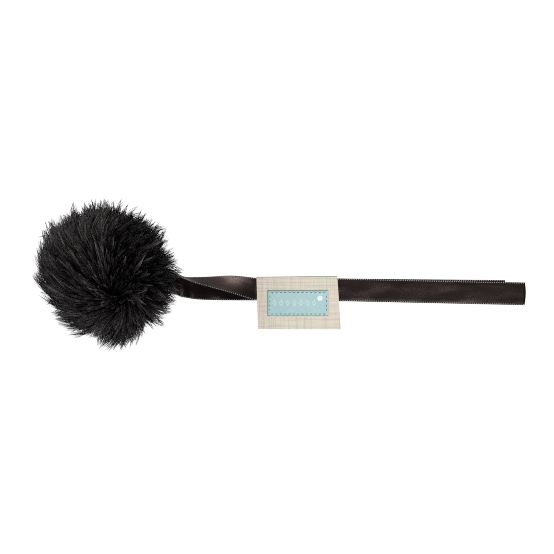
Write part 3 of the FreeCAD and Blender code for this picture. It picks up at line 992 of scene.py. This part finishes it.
def strands_to_mesh(name, paths, tones, materials, rng):
    """Tapered three-sided fibres as one mesh, each closed at the root and pointed at the tip."""
    count = len(paths)
    rings = len(STRAND_STOPS)
    along = unit(np.gradient(paths, axis=1))[:, :rings]
    helper = unit(rng.normal(size=(count, 1, 3)))
    one = unit(np.cross(along, helper))
    two = np.cross(along, one)
    thick = STRAND_RADIUS * (1 - 0.6 * STRAND_STOPS ** 2)[None, :, None, None]
    thick = thick * rng.uniform(0.7, 1.3, (count, 1, 1, 1))
    turn = (np.arange(3) * 2 * math.pi / 3)[None, None, :, None]
    circle = one[:, :, None] * np.cos(turn) + two[:, :, None] * np.sin(turn)
    body = (paths[:, :rings, None] + circle * thick).reshape(count, rings * 3, 3)
    points = np.concatenate([body, paths[:, -1:]], axis=1)
    per = rings * 3 + 1
    # Tone steps taken off each face: painted shade, deepest at the root, none at the tip, and the root cap
    # shaded too.
    faces, root_shade_steps = [], []
    for r in range(rings - 1):
        for s in range(3):
            t = (s + 1) % 3
            faces.append((3 * r + s, 3 * r + t, 3 * r + 3 + t, 3 * r + 3 + s))
            root_shade_steps.append((4.0, 3.0, 1.8, 0.7)[r])
    quads = len(faces)
    last = 3 * (rings - 1)
    faces += [(last + s, last + (s + 1) % 3, per - 1) for s in range(3)] + [(2, 1, 0)]
    root_shade_steps += [0, 0, 0, 3]
    base = (np.arange(count) * per)[:, None]
    loops = np.concatenate([
        (base + np.array(faces[:quads]).reshape(1, -1)).ravel(),
        (base + np.array(faces[quads:]).reshape(1, -1)).ravel(),
    ])
    split = count * quads * 4
    starts = np.concatenate([np.arange(0, split, 4), np.arange(split, len(loops), 3)])
    shade = np.rint(tones[:, None] - np.array(root_shade_steps)[None])
    shade = np.clip(shade, 0, len(materials) - 1)
    shade = np.concatenate([shade[:, :quads].ravel(), shade[:, quads:].ravel()])
    mesh = bpy.data.meshes.new(name)
    mesh.vertices.add(count * per)
    mesh.vertices.foreach_set("co", (points * MM).astype(np.float32).ravel())
    mesh.loops.add(len(loops))
    mesh.loops.foreach_set("vertex_index", loops.astype(np.int32))
    mesh.polygons.add(len(starts))
    mesh.polygons.foreach_set("loop_start", starts.astype(np.int32))
    for material in materials:
        mesh.materials.append(material)
    mesh.polygons.foreach_set("material_index", shade.astype(np.int32))
    mesh.update(calc_edges=True)
    mesh.validate()
    mesh.shade_smooth()
    piece = bpy.data.objects.new(name, mesh)
    bpy.context.scene.collection.objects.link(piece)
    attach(piece, "pompom")


def underfur(material):
    """The dense mass under the visible fibre, near-black with painted shade, dented where the neck comes
    out and above it.
    """
    mesh = bpy.data.meshes.new("underfur")
    ball = bmesh.new()
    bmesh.ops.create_icosphere(ball, subdivisions=6, radius=1.0)
    rng = np.random.default_rng(11)
    ways = np.array([v.co for v in ball.verts])
    bumps = unit(rng.normal(size=(60, 3)))
    rough = np.exp(40 * (ways @ bumps.T - 1)).sum(axis=1) - 0.7
    raised = unit(NECK_WAY + np.array([0.0, 0.0, RAISED_NECK]))
    angle = np.minimum(neck_angle(ways), np.arccos(np.clip(ways @ raised, -1, 1)))
    dent = np.clip((NECK_COMBED - 0.05 - angle) / 0.3, 0, 1)
    radius = UNDERFUR_RADIUS + 0.35 * rough - dent ** 2 * (3 - 2 * dent) * (UNDERFUR_RADIUS - DENT_RADIUS)
    places = above_table(CENTRE + ways * radius[:, None], clear=1.0)
    for vertex, place in zip(ball.verts, places * MM):
        vertex.co = place
    ball.to_mesh(mesh)
    ball.free()
    mesh.shade_smooth()
    mesh.materials.append(material)
    piece = bpy.data.objects.new("underfur", mesh)
    bpy.context.scene.collection.objects.link(piece)
    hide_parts("fur_pile")
    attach(piece, "pompom")


def add_fur():
    rng = np.random.default_rng(7)
    materials = fur_materials()
    underfur(underfur_material())
    paths, tones = strand_paths(rng)
    for number, first in enumerate(range(0, len(paths), STRANDS_PER_PIECE), 1):
        part = slice(first, first + STRANDS_PER_PIECE)
        strands_to_mesh(f"fur_{number:02d}", paths[part], tones[part], materials, rng)


# ---------------------------------------------------------------- the other CAD nodes

def paint(piece, material):
    for slot in piece.material_slots:
        slot.material = material
    if not piece.material_slots:
        piece.data.materials.append(material)


def add_neck():
    thread = thread_material()
    for name in ("neck_wrap_1", "neck_wrap_2", "neck_wrap_3", "neck_knot", "sewing_bail",
                 "tack_stitch_1", "tack_stitch_2", "tack_stitch_3"):
        paint(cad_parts[name], thread)
    knit = knit_material("black_knit", (0.004, 0.004, 0.004), (0.02, 0.019, 0.019))
    paint(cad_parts["neck_stub"], knit)
    paint(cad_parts["fur_backing"], knit)
    paint(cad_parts["stuffing"], filling_material())


add_camera()
add_studio()
add_floor()
add_neck()
add_ribbon()
add_card()
add_fur()
